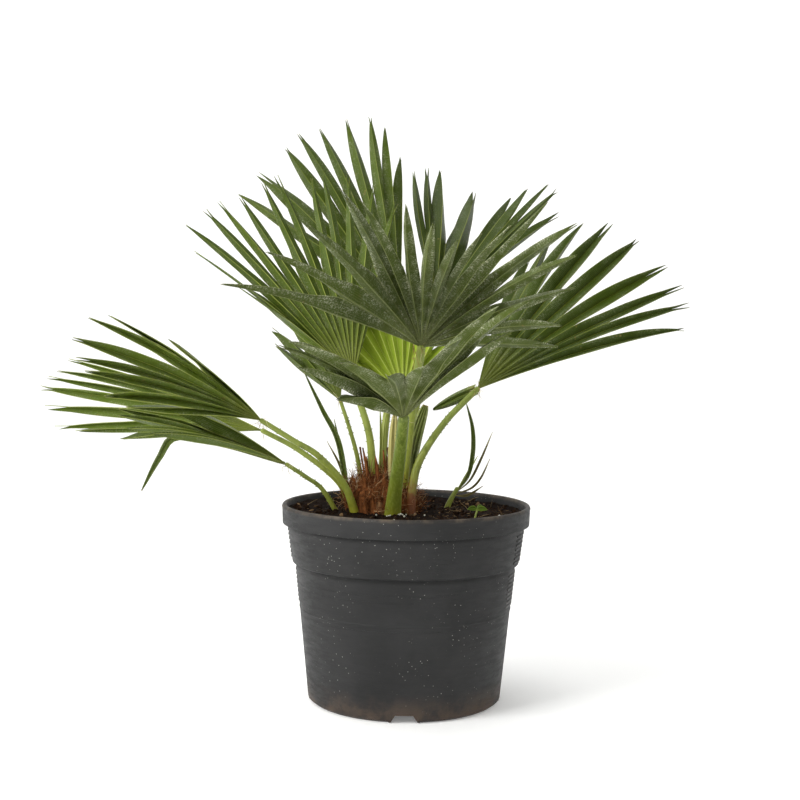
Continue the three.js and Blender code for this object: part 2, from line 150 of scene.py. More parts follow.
def add_studio():
    bm = bmesh.new()
    spun(bm, STUDIO_PROFILE, 72)
    bmesh.ops.recalc_face_normals(bm, faces=bm.faces)
    bmesh.ops.reverse_faces(bm, faces=bm.faces)
    for face in bm.faces:
        face.smooth = True
    floor = put("studio_floor", shape(bm, "studio_floor"))
    paint = bpy.data.materials.new("floor_paint")
    paint.use_nodes = True
    for socket, value in FLOOR_PAINT.items():
        paint.node_tree.nodes["Principled BSDF"].inputs[socket].default_value = value
    floor.data.materials.append(paint)
    floor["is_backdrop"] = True
    return floor


floor = add_studio()
print("studio floor", len(floor.data.polygons), "faces")

# %% Lamps and sky
def add_lamp(name, place, size, power, aim=(0, 0, 0.25)):
    lamp = bpy.data.lights.new(name, "AREA")
    lamp.size, lamp.energy = size, power
    away = Vector(place) - Vector(aim)
    turn = away.to_track_quat("Z", "Y").to_matrix().to_4x4()
    put(name, lamp).matrix_world = Matrix.Translation(place) @ turn


add_lamp("main_box", (-2.2, -1.4, 1.7), 1.4, 77)
add_lamp("top_box", (-0.5, 0.4, 2.9), 2.2, 48)
sky = bpy.data.worlds.new("sky")
sky.use_nodes = True
sky.node_tree.nodes["Background"].inputs["Color"].default_value = (1, 1, 1, 1)
sky.node_tree.nodes["Background"].inputs["Strength"].default_value = 0.27
bpy.context.scene.world = sky
bpy.context.scene.view_settings.view_transform = "Standard"
print("two lamps and the sky are lit")

# %% [markdown]
# ## Finishes
# A finish is a node material. `Finish` keeps the wiring short: each call adds a node and gives back its
# socket. Patterns read Object coordinates in metres, so a scale of 100 repeats about every 10 mm. Leaf
# patterns follow the leaf instead, through its UV map: u runs across one segment and v from hub to tip.

# %% A short way to wire a material
class Finish:
    def __init__(self, name, **shader):
        self.material = bpy.data.materials.new(name)
        self.material.use_nodes = True
        self.tree = self.material.node_tree
        self.shader = self.tree.nodes["Principled BSDF"]
        for socket, value in shader.items():
            self.shader.inputs[socket.replace("_", " ")].default_value = value

    def feed(self, socket, value):
        if isinstance(value, bpy.types.NodeSocket):
            self.tree.links.new(value, socket)
        else:
            socket.default_value = value

    def add(self, kind, inputs=None, **settings):
        node = self.tree.nodes.new("ShaderNode" + kind)
        for key, value in settings.items():
            setattr(node, key, value)
        for key, value in (inputs or {}).items():
            self.feed(node.inputs[key], value)
        return node

    def place(self):
        return self.add("TexCoord").outputs["Object"]

    def split(self, vector):
        return self.add("SeparateXYZ", {"Vector": vector}).outputs

    def stretch(self, vector, scale):
        return self.add("Mapping", {"Vector": vector, "Scale": scale}).outputs["Vector"]

    def noise(self, vector, scale, detail=4.0, roughness=0.55):
        return self.add("TexNoise", {"Vector": vector, "Scale": scale, "Detail": detail,
                                     "Roughness": roughness}).outputs["Fac"]

    def math(self, operation, first, second=0.0, third=0.0, clamp=False):
        inputs = {0: first, 1: second, 2: third}
        return self.add("Math", inputs, operation=operation, use_clamp=clamp).outputs[0]

    def band(self, value, low, high, start=0.0, end=1.0):
        """A smooth step of `value` from `start` at `low` to `end` at `high`."""
        node = self.add("MapRange", {"Value": value, "From Min": low, "From Max": high,
                                     "To Min": start, "To Max": end}, interpolation_type="SMOOTHSTEP")
        return node.outputs["Result"]

    def mix(self, factor, first, second):
        return self.add("Mix", {0: factor, 6: first, 7: second}, data_type="RGBA").outputs[2]

    def relief(self, height, depth, under=None):
        """Bump of `depth` metres for a height from 0 to 1."""
        inputs = {"Height": height, "Distance": depth, "Strength": 1.0}
        if under is not None:
            inputs["Normal"] = under
        return self.add("Bump", inputs).outputs["Normal"]

    def use(self, base, roughness, normal):
        for socket, value in (("Base Color", base), ("Roughness", roughness), ("Normal", normal)):
            self.feed(self.shader.inputs[socket], value)
        return self.material


# %% [markdown]
# ### Leaf finish
# A fan palm's blade is pleated: each segment has a pale midrib in its valley, a fine ridge on each side,
# and many thin veins between. The tone changes from segment to segment, the hub end is yellower, and the
# tips are dry from `tip` on. `scurf` is the white meal of older leaves, thickest near the margins.

# %% Leaf finish
VEINS = 96.0


def leaf_finish(name, dark, light, rib, dry="#847a4e", scurf=0.0, gloss=0.42, ribs=0.8, tip=0.98):
    f = Finish(name, Specular_IOR_Level=0.12)
    blade = f.split(f.add("UVMap", uv_map="blade").outputs["UV"])
    across, along = blade[0], blade[1]
    place = f.place()
    edge = f.math("ABSOLUTE", f.math("MULTIPLY_ADD", across, 2.0, -1.0))
    tone = f.add("Attribute", attribute_name="tone").outputs["Fac"]
    cloud = f.noise(place, 38, 5)
    shade = f.math("ADD", f.math("MULTIPLY", tone, 0.45), f.math("MULTIPLY", cloud, 0.6), clamp=True)
    base = f.mix(shade, colour(dark), colour(light))
    vein = f.math("SINE", f.math("MULTIPLY", across, VEINS))
    base = f.mix(f.band(vein, 0.3, 1.0, 0.0, 0.16), base, colour(rib))
    base = f.mix(f.band(along, 0.02, 0.3, 0.4, 0.0), base, colour(rib))
    midrib = f.math("MULTIPLY", f.band(edge, 0.02, 0.085, 1.0, 0.0),
                    f.band(along, 0.3, 0.9, ribs, ribs * 0.3))
    ridge = f.math("MULTIPLY", f.band(edge, 0.93, 0.99),
                   f.band(along, 0.3, 0.9, ribs * 0.75, ribs * 0.45))
    base = f.mix(f.math("MAXIMUM", midrib, ridge), base, colour(rib))
    if scurf:
        patch = f.math("MULTIPLY", f.band(f.noise(place, 48, 3), 0.3, 0.65),
                       f.band(edge, 0.2, 0.95, 0.25, 1.0))
        base = f.mix(f.math("MULTIPLY", patch, 0.32 * scurf), base, colour("#8d9678"))
        grain = f.band(f.noise(place, 560, 4, 0.8), 0.51, 0.6)
        meal = f.math("MULTIPLY", f.math("MULTIPLY", grain, patch), scurf)
        base = f.mix(meal, base, colour("#d6d6b8"))
    worn = f.math("ADD", along, f.math("MULTIPLY", f.math("SUBTRACT", f.noise(place, 120, 3), 0.5), 0.09))
    base = f.mix(f.band(worn, tip, tip + 0.03), base, colour(dry))
    spots = f.band(f.noise(place, 150, 2), 0.7, 0.76, 0.0, 0.55)
    base = f.mix(spots, base, colour("#7c6a3c"))
    rough = f.band(cloud, 0.3, 0.8, gloss - 0.06, gloss + 0.14)
    fine = f.relief(f.math("MULTIPLY_ADD", vein, 0.5, 0.5), 0.00016)
    return f.use(base, rough, f.relief(f.noise(place, 420, 3), 0.00012, fine))


leaf_green = leaf_finish("leaf_green", "#273604", "#485910", "#8f984a", scurf=0.3, ribs=0.7)
# A lighter copy of the green leaf: painted light for the low left leaves, which face the lamp.
leaf_painted_lit = leaf_finish("leaf_painted_lit", "#304206", "#546718", "#aab258", scurf=0.2, ribs=0.95)
leaf_dusty = leaf_finish("leaf_dusty", "#303c0c", "#505e20", "#949a62", dry="#a8a284", scurf=0.85,
                         gloss=0.5, ribs=0.75)
leaf_ribbed = leaf_finish("leaf_ribbed", "#283904", "#47590f", "#a0a850", scurf=0.2, ribs=0.95)
leaf_deep = leaf_finish("leaf_deep", "#202e02", "#39490a", "#7d8438", scurf=0.15, ribs=0.85)
leaf_young = leaf_finish("leaf_young", "#6d8316", "#9aae32", "#ccd374", tip=1.2)
leaf_dry = leaf_finish("leaf_dry", "#46411f", "#6f6538", "#948a5a", gloss=0.7, tip=0.8)
leaf_sprout = leaf_finish("leaf_sprout", "#3f5712", "#5f7a22", "#869c44", tip=1.3)
leaf_spear = leaf_finish("leaf_spear", "#55601f", "#7d8848", "#c9c69c", dry="#8d7344", scurf=0.8,
                         gloss=0.6, tip=0.97)
leaf_pale = leaf_finish("leaf_pale", "#948c48", "#b8b076", "#d9d3a2", dry="#8d6a40", gloss=0.7, tip=0.97)
leaf_stalk = leaf_finish("leaf_stalk", "#7d8a38", "#a0a955", "#c4c57c", gloss=0.45, tip=1.2)
print("leaf finishes made")

# %% [markdown]
# ### Stalk, fibre, compost and pot finishes
# A stalk is green and waxy at the top, yellower lower down and brown where the old sheath held it. Its
# colour follows the `along` attribute that the sweep writes, from foot to hub. Fibre and compost take a
# `tone` for each strand or crumb. The pot's plastic is dark grey with pale scuffs, has painted shade in a
# dark band under its rim band and under its step, and has earth at its foot and on its lip.

# %% Stalk finish
def stalk_finish(name, foot, low, high, brown=0.0):
    f = Finish(name, Specular_IOR_Level=0.3)
    place = f.place()
    along = f.add("Attribute", attribute_name="along").outputs["Fac"]
    streak = f.noise(f.stretch(place, (1.0, 1.0, 0.12)), 520, 3)
    base = f.mix(f.band(along, 0.15, 0.75), colour(low), colour(high))
    base = f.mix(f.band(along, 0.05, 0.24, 1.0, 0.0), base, colour(foot))
    base = f.mix(f.band(streak, 0.4, 0.75, 0.0, 0.4), base, colour("#97a052"))
    base = f.mix(f.band(f.noise(place, 90, 4), 0.5, 0.75, 0.0, 0.5), base, colour("#3f4c14"))
    if brown:
        reach = f.math("ADD", along, f.math("MULTIPLY", f.noise(place, 130, 3), 0.22))
        sheath = f.band(reach, 0.18 + 0.1 * brown, 0.32 + 0.2 * brown, 1.0, 0.0)
        base = f.mix(sheath, base, colour("#6f3f1c"))
    return f.use(base, f.band(streak, 0.3, 0.7, 0.36, 0.52), f.relief(streak, 0.0003))


stalk_green = stalk_finish("stalk_green", "#7d7a1c", "#6b7420", "#56661e")
stalk_pale = stalk_finish("stalk_pale", "#8d8a22", "#858c34", "#7e8a3c")
stalk_brown = stalk_finish("stalk_brown", "#7c4218", "#767a26", "#68752c", brown=0.6)


# %% Fibre and compost finishes
def tone_finish(name, dark, middle, light, roughness, scale, depth, upright=1.0):
    f = Finish(name, Specular_IOR_Level=0.06)
    place = f.stretch(f.place(), (1.0, 1.0, upright))
    tone = f.add("Attribute", attribute_name="tone").outputs["Fac"]
    cloud = f.noise(place, scale, 6, 0.7)
    base = f.mix(f.band(cloud, 0.35, 0.7), colour(dark), colour(middle))
    base = f.mix(f.band(tone, 0.55, 1.0), base, colour(light))
    return f.use(base, roughness, f.relief(f.noise(place, scale * 3, 5, 0.7), depth))


fibre = tone_finish("crown_fibre", "#4d2c15", "#a0643a", "#d8b284", 0.9, 420, 0.0022, upright=0.14)
compost = tone_finish("compost", "#0e0704", "#22150c", "#4b3622", 0.95, 140, 0.0025)
crumbs = tone_finish("compost_crumbs", "#120a05", "#2e1d11", "#7f664a", 0.95, 300, 0.0006)
husk = tone_finish("dry_husk", "#7b6233", "#b7a56b", "#ddd2a6", 0.75, 200, 0.0004)
root_fibre = tone_finish("root_fibre", "#2c1d12", "#57402a", "#94805c", 0.85, 200, 0.0003)
perlite = tone_finish("perlite", "#b9b8a8", "#d8d6c8", "#efece0", 0.85, 400, 0.0004)


# %% Pot finish
BAND_FOOT, STEP_FOOT = 0.185, 0.1435  # heights of the two undercuts on the wall, in metres


def pot_finish(name, dark, light, scuffs):
    f = Finish(name, Specular_IOR_Level=0.2)
    place = f.place()
    height = f.split(place)[2]
    base = f.mix(f.band(f.noise(place, 9, 5), 0.35, 0.7), colour(dark), colour(light))
    drag = f.noise(f.stretch(place, (1.0, 1.0, 5.0)), 42, 6, 0.72)
    base = f.mix(f.band(drag, 0.58, 0.75, 0.0, scuffs), base, colour("#4a4a49"))
    speck = f.add("TexVoronoi", {"Vector": place, "Scale": 240}).outputs["Distance"]
    thin = f.band(f.noise(place, 22, 4), 0.44, 0.66)
    chips = f.math("MULTIPLY", f.band(speck, 0.06, 0.12, 0.75, 0.0), thin)
    base = f.mix(chips, base, colour("#b5b3ac"))
    earth = f.noise(place, 34, 6, 0.7)
    low = f.math("MULTIPLY", f.band(height, 0.004, 0.032, 1.0, 0.0),
                 f.band(earth, 0.38, 0.62, 0.1, 0.8))
    base = f.mix(low, base, colour("#4c3f35"))
    # Painted shade: a near-black band just under the rim band and under the step, where their undercuts cast
    # shadow.
    for under in (BAND_FOOT, STEP_FOOT):
        near = f.band(height, under - 0.006, under - 0.001, 0.0, 0.75)
        shade = f.math("MULTIPLY", near, f.math("LESS_THAN", height, under))
        base = f.mix(shade, base, colour("#0b0b0b"))
    lip = f.math("MULTIPLY", f.band(height, RIM_Z - 0.005, RIM_Z),
                 f.band(earth, 0.42, 0.62, 0.1, 0.75))
    base = f.mix(lip, base, colour("#63574a"))
    rough = f.band(drag, 0.35, 0.75, 0.5, 0.72)
    grain = f.relief(f.noise(place, 900, 2), 0.00007)
    return f.use(base, rough, f.relief(drag, 0.00035, grain))


pot_plastic = pot_finish("pot_plastic", "#212121", "#2c2c2c", 0.2)
# The ladder ribs take a paler grey copy of the plastic, with more scuffs.
pot_paler = pot_finish("pot_paler_ribs", "#333333", "#6f6e6c", 0.8)
print("stalk, fibre, compost and pot finishes made")

# %% [markdown]
# ## Hanging a mesh on the frame
# Each finished mesh becomes one piece that rides on the only body, takes its materials and hides the CAD
# node it stands for. Its box is printed beside the node's box, so a piece out of place shows.

# %% Make a piece
BLADE_CREASE = 0.45  # a blade's shading breaks at folds sharper than this, in radians
WELD = 4e-6


def hang(bm, name, materials, node=None, crease=None):
    """Turns a finished bmesh into a piece of the object, with soft shading and creases over an angle."""
    for face in bm.faces:
        face.smooth = True
    if crease:
        for edge in bm.edges:
            edge.smooth = not (edge.is_manifold and edge.calc_face_angle() > crease)
    mesh = shape(bm, name)
    for material in materials:
        mesh.materials.append(material)
    piece = put(name, mesh)
    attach(piece, "root")
    if node:
        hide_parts(node)
        low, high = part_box(node)
        new = [f(v.co[i] for v in mesh.vertices) for f in (min, max) for i in range(3)]
        off = [round((n - c) / MM) for n, c in zip(new, (*low, *high))]
        print(f"{name}: {len(mesh.polygons)} faces, box against the CAD {off} mm")
    return piece


# %% [markdown]
# ## The pot
# An injection-moulded pot is a body of revolution, so its wall is one profile spun round Z. Its corners
# are rounded afterwards with a bevel on the sharp rings only. The feet come from four wedge-shaped
# channels cut from below, each under a raised cover with a drain hole, made with Boolean modifiers.

# %% Spin the wall
def pot_wall():
    """The wall's profile runs up the outside, over the lip and down the inside to the floor."""
    r, h = RIM_RADIUS / MM, RIM_Z / MM
    outside = [[0, 0], [97, 0], [101, 3], [110.3, 96], [110.8, 96.6], [110.9, 98], [110.6, 98.6],
               [114.5, 139], [115, 143.5], [118.5, 145], [123.6, 184], [125, 185], [r - 1, 185],
               [r - 0.4, h - 4], [r, h - 3], [r - 1, h - 0.6], [r - 2.5, h]]
    inside = [[125.4, 204.2], [124.4, 201], [123.6, 188], [122, 181], [116.3, 147], [110.8, 140],
              [98.8, 5], [95.8, 2.5], [0, 2.5]]
    bm = bmesh.new()
    spun(bm, outside + inside, 144)
    bmesh.ops.recalc_face_normals(bm, faces=bm.faces)
    sharp = [e for e in bm.edges if e.calc_face_angle(0) > math.radians(24)]
    bmesh.ops.bevel(bm, geom=sharp, offset=0.5 * MM, offset_type="OFFSET", segments=2, profile=0.5,
                    affect="EDGES", clamp_overlap=True, material=-1)
    return bm


# %% A wedge that runs outwards under the floor
QUARTERS = [math.radians(a) for a in (0, 90, 180, 270)]


def wedge(name, turn, inner, outer, low, high, foot, top):
    """A block between two radii and two heights, `foot` wide below and `top` wide above."""
    bm = bmesh.new()
    bmesh.ops.create_cube(bm, size=1)
    for v in bm.verts:
        x, y, z = v.co
        wide, level = (top, high) if z > 0 else (foot, low)
        v.co = (MM * (outer if x > 0 else inner), MM * y * wide, MM * level)
    return loose_object(bm, name, turn)


def loose_object(bm, name, turn=0.0):
    bmesh.ops.rotate(bm, cent=(0, 0, 0), matrix=Matrix.Rotation(turn, 3, "Z"), verts=bm.verts)
    return put(name, shape(bm, name))


# %% Join and cut with Boolean modifiers
def carve(bm, joined, cut):
    """Gives back the result as a new bmesh and removes the tools."""
    work = loose_object(bm, "carving")
    for operation, tools in (("UNION", joined), ("DIFFERENCE", cut)):
        for tool in tools:
            modifier = work.modifiers.new(tool.name, "BOOLEAN")
            modifier.object, modifier.operation, modifier.solver = tool, operation, "EXACT"
    bpy.context.view_layer.update()
    shown = work.evaluated_get(bpy.context.evaluated_depsgraph_get())
    result = bmesh.new()
    result.from_mesh(shown.to_mesh())
    shown.to_mesh_clear()
    for thing in [work, *joined, *cut]:
        mesh = thing.data
        bpy.data.objects.remove(thing)
        bpy.data.meshes.remove(mesh)
    return result


def drain_hole(turn):
    bm = bmesh.new()
    bmesh.ops.create_cone(bm, cap_ends=True, segments=24, radius1=5 * MM, radius2=5 * MM, depth=16 * MM,
                          matrix=Matrix.Translation((82 * MM, 0, 7 * MM)))
    return loose_object(bm, "drain", turn)


# %% Short raised ribs, spun through part of a turn
def rib(bm, radius, height, centre, span, tall, proud, material=0):
    """A raised bar on the wall at azimuth `centre`, measured in degrees from the front to the right."""
    section = bmesh.ops.create_grid(bm, x_segments=1, y_segments=1, size=0.5)["verts"]
    start = Matrix.Rotation(math.radians(centre - span / 2 - 90), 4, "Z")
    on_wall = Matrix.Translation((radius * MM, 0, height * MM))
    upright = Matrix.Rotation(math.pi / 2, 4, "X")
    size = Matrix.Diagonal((proud * 2 * MM, tall * MM, 1, 1))
    bmesh.ops.transform(bm, matrix=start @ on_wall @ upright @ size, verts=section)
    face = section[0].link_faces[0]
    before = set(bm.faces)
    steps = max(2, round(span / 3))
    bmesh.ops.spin(bm, geom=[face, *face.edges, *face.verts], cent=(0, 0, 0), axis=(0, 0, 1),
                   angle=math.radians(span), steps=steps)
    made = (set(bm.faces) - before) | {face}
    bmesh.ops.recalc_face_normals(bm, faces=list(made))
    for one in made:
        one.material_index = material


def wall_radius(z):
    """Outside radius in millimetres at a height in millimetres, between the foot and the rim band."""
    return 101 + (z - 3) * 13.5 / 136 if z < 140 else 118.5 + (z - 145) * 5.1 / 39


# %% Build the pot
LADDER_SIDES = (82, -98)  # degrees from the front to the right
LADDER_RUNGS = [150 + 4.6 * i for i in range(7)] + [104 + 4.6 * i for i in range(8)]
FAINT_LINES = ((127.5, -14, 84), (121, -22, 52), (91.5, -8, 70))  # height, azimuth and span in degrees


def add_pot():
    covers = [wedge("cover", a, inner=69.8, outer=99.1, low=0.4, high=9.8, foot=31, top=22)
              for a in QUARTERS]
    channels = [wedge("channel", a, inner=72, outer=116, low=-1, high=7.6, foot=28, top=18)
                for a in QUARTERS]
    bm = carve(pot_wall(), covers, channels + [drain_hole(a) for a in QUARTERS])
    for side in LADDER_SIDES:
        for z in LADDER_RUNGS:
            rib(bm, wall_radius(z) + 0.1, z, side, span=30, tall=1.6, proud=0.75, material=1)
    for z, centre, span in FAINT_LINES:
        rib(bm, wall_radius(z), z, centre, span, tall=0.9, proud=0.28)
    hang(bm, "pot_shell", [pot_plastic, pot_paler], "pot", crease=0.7)


add_pot()

# %% [markdown]
# ## The compost
# The pot is full of dark peaty compost that stands a little higher at the wall and at the left. One spun
# body fills the pot; its top is roughened with noise. Loose crumbs, bits of perlite and root fibres are
# then scattered on it: copies of a few small shapes, so that hundreds of them stay light.

# %% Height of the surface
def soil_height(x, y):
    """Level of the compost in metres: lumpy, and higher near the wall and at the left."""
    r = math.hypot(x, y)
    bowl = 3.2 * MM * max(0.0, (r - 0.075) / 0.048) ** 2
    rough = noise.fractal(Vector((x, y, 0)) * 60, 0.8, 2.0, 4) * 1.7 * MM
    left = 2.4 * MM * min(1.0, max(0.0, 0.5 - x / 0.12))
    return SOIL_Z + 4.4 * MM + left + 0.7 * bowl + rough


def add_compost():
    bm = bmesh.new()
    rings, reach, level = 52, 123.2, 190
    top = [[reach * i / rings, level] for i in range(rings + 1)]
    wall = [[121.6, 181], [116.4, 150], [110.6, 138], [98.2, 8], [95, 3.2], [0, 3.2]]
    spun(bm, top + wall, 150)
    for v in bm.verts:
        if v.co.z > (level - 0.5) * MM:
            v.co.z = soil_height(v.co.x, v.co.y)
    bmesh.ops.recalc_face_normals(bm, faces=bm.faces)
    cut = [wedge("room", a, inner=66, outer=118, low=-2, high=12.2, foot=34, top=25) for a in QUARTERS]
    hang(carve(bm, [], cut), "compost_fill", [compost], "soil")


add_compost()


# %% Carry a ring along a line
def turned_frames(centres):
    """A frame at each centre, its Z along the line and its X carried on without twist."""
    frames, side = [], None
    for i, centre in enumerate(centres):
        ahead = (centres[min(i + 1, len(centres) - 1)] - centres[max(i - 1, 0)]).normalized()
        if side is None:
            side = ahead.cross(Vector((0, 1, 0.2))).normalized()
        side = (side - ahead * side.dot(ahead)).normalized()
        turn = Matrix((side, ahead.cross(side), ahead)).transposed().to_4x4()
        frames.append(Matrix.Translation(centre) @ turn)
    return frames


def sweep(bm, centres, radii, sides, flat=1.0, shares=None):
    """Sweeps a ring along the centres, extruding it from one to the next, and closes both ends."""
    along = bm.verts.layers.float.get("along") or bm.verts.layers.float.new("along")
    shares = shares or [i / (len(centres) - 1) for i in range(len(centres))]
    ring = bmesh.ops.create_circle(bm, cap_ends=True, segments=sides, radius=1)["verts"]
    edges = list({e for v in ring for e in v.link_edges if all(o in ring for o in e.verts)})
    edges = [e for e in edges if len(e.link_faces) < 2]
    last = Matrix.Identity(4)
    for i, (frame_here, radius) in enumerate(zip(turned_frames(centres), radii)):
        if i:
            grown = bmesh.ops.extrude_edge_only(bm, edges=edges)["geom"]
            ring = [g for g in grown if isinstance(g, bmesh.types.BMVert)]
            fresh = set(ring)
            edges = [g for g in grown if isinstance(g, bmesh.types.BMEdge) and set(g.verts) <= fresh]
        now = frame_here @ Matrix.Diagonal((radius, radius * flat, 1, 1))
        bmesh.ops.transform(bm, matrix=now @ last.inverted(), verts=ring)
        last = now
        for v in ring:
            v[along] = shares[i]
    bmesh.ops.contextual_create(bm, geom=edges)


# %% Small shapes to scatter
STRAND_RADIUS = 0.024


def curl_shape(seed, bend, sides=3, steps=6):
    """A thin curved strand of unit length along X, for roots and fibres."""
    rng = random.Random(seed)
    at, heading, points = Vector((0, 0, 0)), Vector((1, 0, 0)), []
    for _ in range(steps + 1):
        points.append(at.copy())
        heading = (heading + Vector([rng.uniform(-bend, bend) for _ in range(3)])).normalized()
        at = at + heading / steps
    bm = bmesh.new()
    sweep(bm, points, [STRAND_RADIUS * (1 - 0.7 * i / steps) for i in range(steps + 1)], sides)
    bmesh.ops.recalc_face_normals(bm, faces=bm.faces)
    return shape(bm, "strand_shape")


def crumb_shape(seed):
    rng = random.Random(seed)
    bm = bmesh.new()
    bmesh.ops.create_icosphere(bm, subdivisions=2, radius=0.5)
    shift = Vector([rng.uniform(-9, 9) for _ in range(3)])
    for v in bm.verts:
        v.co *= 1 + 0.55 * noise.noise(v.co * 2.4 + shift)
    return shape(bm, "crumb_shape")


curls = [curl_shape(seed, bend) for seed, bend in enumerate((0.25, 0.5, 0.7, 0.4, 0.9), 1)]
lumps = [crumb_shape(seed) for seed in range(5)]
print("small shapes:", len(curls), "strands and", len(lumps), "lumps")


def scatter(bm, small, place, tone, material=0):
    """Adds a copy of a small shape, with its own tone."""
    verts, faces = len(bm.verts), len(bm.faces)
    bm.from_mesh(small)
    bm.verts.ensure_lookup_table()
    bmesh.ops.transform(bm, matrix=place, verts=bm.verts[verts:])
    layer = bm.faces.layers.float.get("tone") or bm.faces.layers.float.new("tone")
    bm.faces.ensure_lookup_table()
    for face in bm.faces[faces:]:
        face[layer] = tone
        face.material_index = material


# %% Turn a shape at random
def tumble(rng, flat=1.0):
    heading = Matrix.Rotation(rng.uniform(0, math.tau), 4, "Z")
    dip = Matrix.Rotation(rng.uniform(-flat, flat), 4, "Y")
    return heading @ dip @ Matrix.Rotation(rng.uniform(0, math.tau), 4, "X")


# %% Crumbs and perlite on the compost
CRUMBS, CRUMB_SIZES = 620, [1.2, 1.6, 2, 2.6, 3.4, 4.6]
PERLITE, PERLITE_AT_CROWN = 26, 14
INSIDE_WALL = 116 * MM


def on_soil(x, y, lift):
    return Matrix.Translation((x, y, soil_height(x, y) + lift))


def add_crumbs(rng):
    bm = bmesh.new()
    for _ in range(CRUMBS):
        r, a = 120 * MM * math.sqrt(rng.random()), rng.uniform(0, math.tau)
        x, y = r * math.cos(a), r * math.sin(a)
        size = rng.choice(CRUMB_SIZES) * MM
        tall = Matrix.Diagonal((size * rng.uniform(0.8, 1.9), size, size * rng.uniform(0.45, 0.9), 1))
        place = on_soil(x, y, size * 0.12) @ tumble(rng) @ tall
        scatter(bm, rng.choice(lumps), place, rng.random() ** 3)
    for i in range(PERLITE):
        near = i < PERLITE_AT_CROWN
        x_spread, y_spread = ((-15, 9), (-34, 5)) if near else ((40, 50), (-40, 40))
        x, y = rng.gauss(*x_spread) * MM, rng.gauss(*y_spread) * MM
        if math.hypot(x, y) < INSIDE_WALL:
            size = rng.uniform(1.0, 2.4) * MM
            place = on_soil(x, y, size * 0.3) @ tumble(rng) @ Matrix.Scale(size, 4)
            scatter(bm, rng.choice(lumps), place, rng.random(), 1)
    return hang(bm, "compost_crumbs", [crumbs, perlite])


# %% Root fibres and straw on the compost, half of them at the right
ROOTS = 260


def add_roots(rng):
    bm = bmesh.new()
    for i in range(ROOTS):
        right = i % 2
        a = rng.uniform(-0.9, 1.1) if right else rng.uniform(0, math.tau)
        r = (rng.uniform(40, 116) if right else 116 * math.sqrt(rng.random())) * MM
        x, y = r * math.cos(a), r * math.sin(a)
        long = rng.uniform(5, 19) * MM
        size = Matrix.Diagonal((long, long, min(long, 9 * MM), 1))
        place = on_soil(x, y, 0.7 * MM) @ tumble(rng, 0.16) @ size
        scatter(bm, rng.choice(curls), place, rng.random())
    return hang(bm, "compost_roots", [root_fibre])


dice = random.Random(11)
crumb_piece, root_piece = add_crumbs(dice), add_roots(dice)
print("crumbs", len(crumb_piece.data.polygons), "faces, roots", len(root_piece.data.polygons))

# %% [markdown]
# ## The plant's sizes
# Each leaf is listed as (x, y, height over the compost) points: its stalk, the hub where the blade
# starts, and the tips of its segments from one side of the fan to the other. The CAD solids follow the
# same lines, so each piece can be checked against its node's box; some stalks here are a little thinner
# or thicker. `foot` and `wide` are a stalk's half widths at its foot and its hub. `split` is the share of
# the blade where its segments part, and `arch` is how far it bows up. A free segment passes to a half
# width of `most` or less, and widens by `swell` before it tapers.

